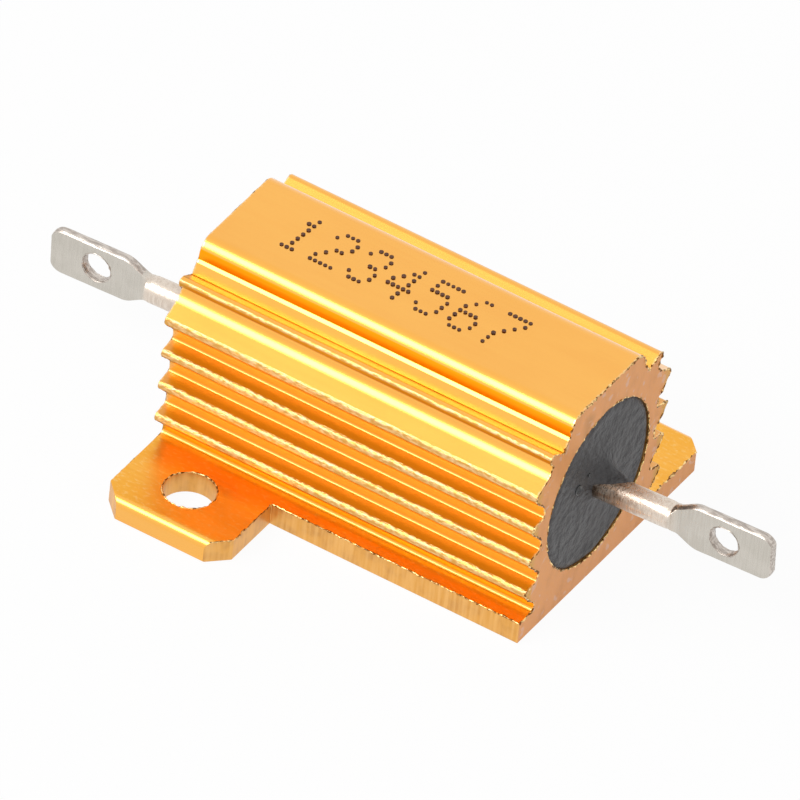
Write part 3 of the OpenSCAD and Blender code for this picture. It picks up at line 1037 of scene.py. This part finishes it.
# ---------------------------------------------------------------- marking

DIGITS = {
    "1": "00100 01100 00100 00100 00100 00100 01110",
    "2": "01110 10001 00001 00110 01000 10000 11111",
    "3": "01110 10001 00001 00110 00001 10001 01110",
    "4": "00010 00110 01010 10010 11111 00010 00010",
    "5": "11111 10000 11110 00001 00001 10001 01110",
    "6": "00110 01000 10000 11110 10001 10001 01110",
    "7": "11111 00001 00010 00100 01000 01000 01000",
}


FIRST_X, FIRST_Y = -9.83, -1.33  # the lowest left dot of the first digit
DIGIT_PITCH, COLUMN_PITCH, ROW_PITCH = 2.43, 0.37, 0.534
SLANT = 0.058
DOT_DROP = 0.004


def marking(digits):
    """Slanting dot-matrix digits, 0.03 to 0.06 above the flat top strip."""
    points = []
    for place, digit in enumerate(digits):
        for row, bits in enumerate(DIGITS[digit].split()):
            up = 6 - row
            y = FIRST_Y + ROW_PITCH * up
            for column, bit in enumerate(bits):
                if bit == "1":
                    x = FIRST_X + DIGIT_PITCH * place + COLUMN_PITCH * column + SLANT * up
                    points.append((x, y, HEIGHT - TOP_SUNK * abs(y) / HALF_TOP - DOT_DROP))
    mesh = mesh_from("marking", points, [])
    dots = grow(new_object("marking_dots", mesh), dots_tree(), Dot=0.000142, Thickness=0.000012,
                Seed=5, Material=PRINT)
    outwards(dots.data)
    finish_piece(dots, "black_moulding")


# ---------------------------------------------------------------- build

SKIN, SAWN, MILLED, TORN = gold_skin(), sawn_end(), milled_edge(), burr_metal()
PAINTED_SHADE, TIPS, PAINTED_WALL_REFLECTION, LEVEL = painted_shade_finish(), rubbed_tips_with_painted_glints(), painted_wall_reflection(), foot_skin()
COMPOUND, GLOSS = black_compound(), glossy_compound()
EDGE, TIN, PRINT = pressed_edge(), tinned(), printed_dot()

RAGGED = ragged_edge_tree()
housing()
housing_burrs()
moulding()
bubbles()
# The left wire is pressed more sharply than the right one
terminal("terminal_left_wire", -1, "terminal_left", 0.16)
terminal("terminal_right_wire", 1, "terminal_right", 0.45)
marking("1234567")

INNER = {
    "core": plain_inner("steatite", (0.80, 0.77, 0.72), 0.0, 0.6, 1500),
    "winding": plain_inner("resistance wire", (0.55, 0.50, 0.45), 1.0, 0.35, 3000),
    "end_cap_left": plain_inner("pressed steel", (0.62, 0.62, 0.62), 1.0, 0.3, 2500),
}
INNER["end_cap_right"] = INNER["end_cap_left"]
for name, mat in INNER.items():
    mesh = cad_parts[name].data
    mesh.materials.clear()
    mesh.materials.append(mat)


# ---------------------------------------------------------------- stage, light and camera

KEY_POWER, WORLD_LIGHT = 4.8, 0.45
KEY_AT = (-0.288, -0.464, 0.584)
HALF_FLOOR = 900
WHITE = (1, 1, 1, 1)


def seen_white(tree, kind, surface, share, target):
    """Shows plain white to the camera and to mirror rays, and the surface to the other rays."""
    white = add(tree, kind)
    white.inputs["Color"].default_value = WHITE
    white.inputs["Strength"].default_value = 1.0
    path = add(tree, "ShaderNodeLightPath")
    seen = maths(tree, "MAXIMUM", path.outputs["Is Camera Ray"],
                 maths(tree, "MAXIMUM", path.outputs["Is Glossy Ray"],
                       path.outputs["Is Transmission Ray"]))
    mix = add(tree, "ShaderNodeMixShader")
    tree.links.new(maths(tree, "MULTIPLY", seen, share), mix.inputs[0])
    tree.links.new(surface, mix.inputs[1])
    tree.links.new(white.outputs[0], mix.inputs[2])
    tree.links.new(mix.outputs[0], target)


floor = prism("floor", [(-HALF_FLOOR, -HALF_FLOOR), (HALF_FLOOR, -HALF_FLOOR),
                        (HALF_FLOOR, HALF_FLOOR), (-HALF_FLOOR, HALF_FLOOR)], "z", -1.05, -0.05)
mat, tree, shader = material("pale floor", (0.86, 0.86, 0.86), 0.0, 0.9)
seen_white(tree, "ShaderNodeEmission", shader.outputs[0], 0.95,
           tree.nodes["Material Output"].inputs[0])
floor.data.materials.append(mat)

scene = bpy.context.scene
scene.view_settings.view_transform = "Standard"

world = bpy.data.worlds.new("studio")
scene.world = world
world.use_nodes = True
tree = world.node_tree
soft = tree.nodes["Background"]
soft.inputs["Color"].default_value = WHITE
soft.inputs["Strength"].default_value = WORLD_LIGHT
seen_white(tree, "ShaderNodeBackground", soft.outputs[0], 1.0,
           tree.nodes["World Output"].inputs[0])

light = bpy.data.lights.new("key", "AREA")
light.shape, light.size, light.size_y, light.energy = "RECTANGLE", 0.70, 0.36, KEY_POWER
lamp = new_object("key", light)
lamp.location = KEY_AT
lamp.rotation_euler = (-Vector(KEY_AT)).to_track_quat("-Z", "Y").to_euler()

camera = new_object("camera", bpy.data.cameras.new("camera"))
right = Vector((0.8400843624510116, 0.53559671394774, 0.08599083656797663))
down = Vector((0.4053215982981035, -0.5144182675656815, -0.7557038096687047))
ahead = Vector((-0.3605172200025244, 0.6697088964640575, -0.6492436584815796))
turn = Matrix((right, -down, -ahead)).transposed().to_4x4()
camera.matrix_world = Matrix.Translation((0.68125234808, -1.26700822523, 1.23479423986)) @ turn
camera.data.sensor_width, camera.data.lens = 36, 1392.08265
camera.data.clip_start, camera.data.clip_end = 0.05, 20
scene.camera = camera
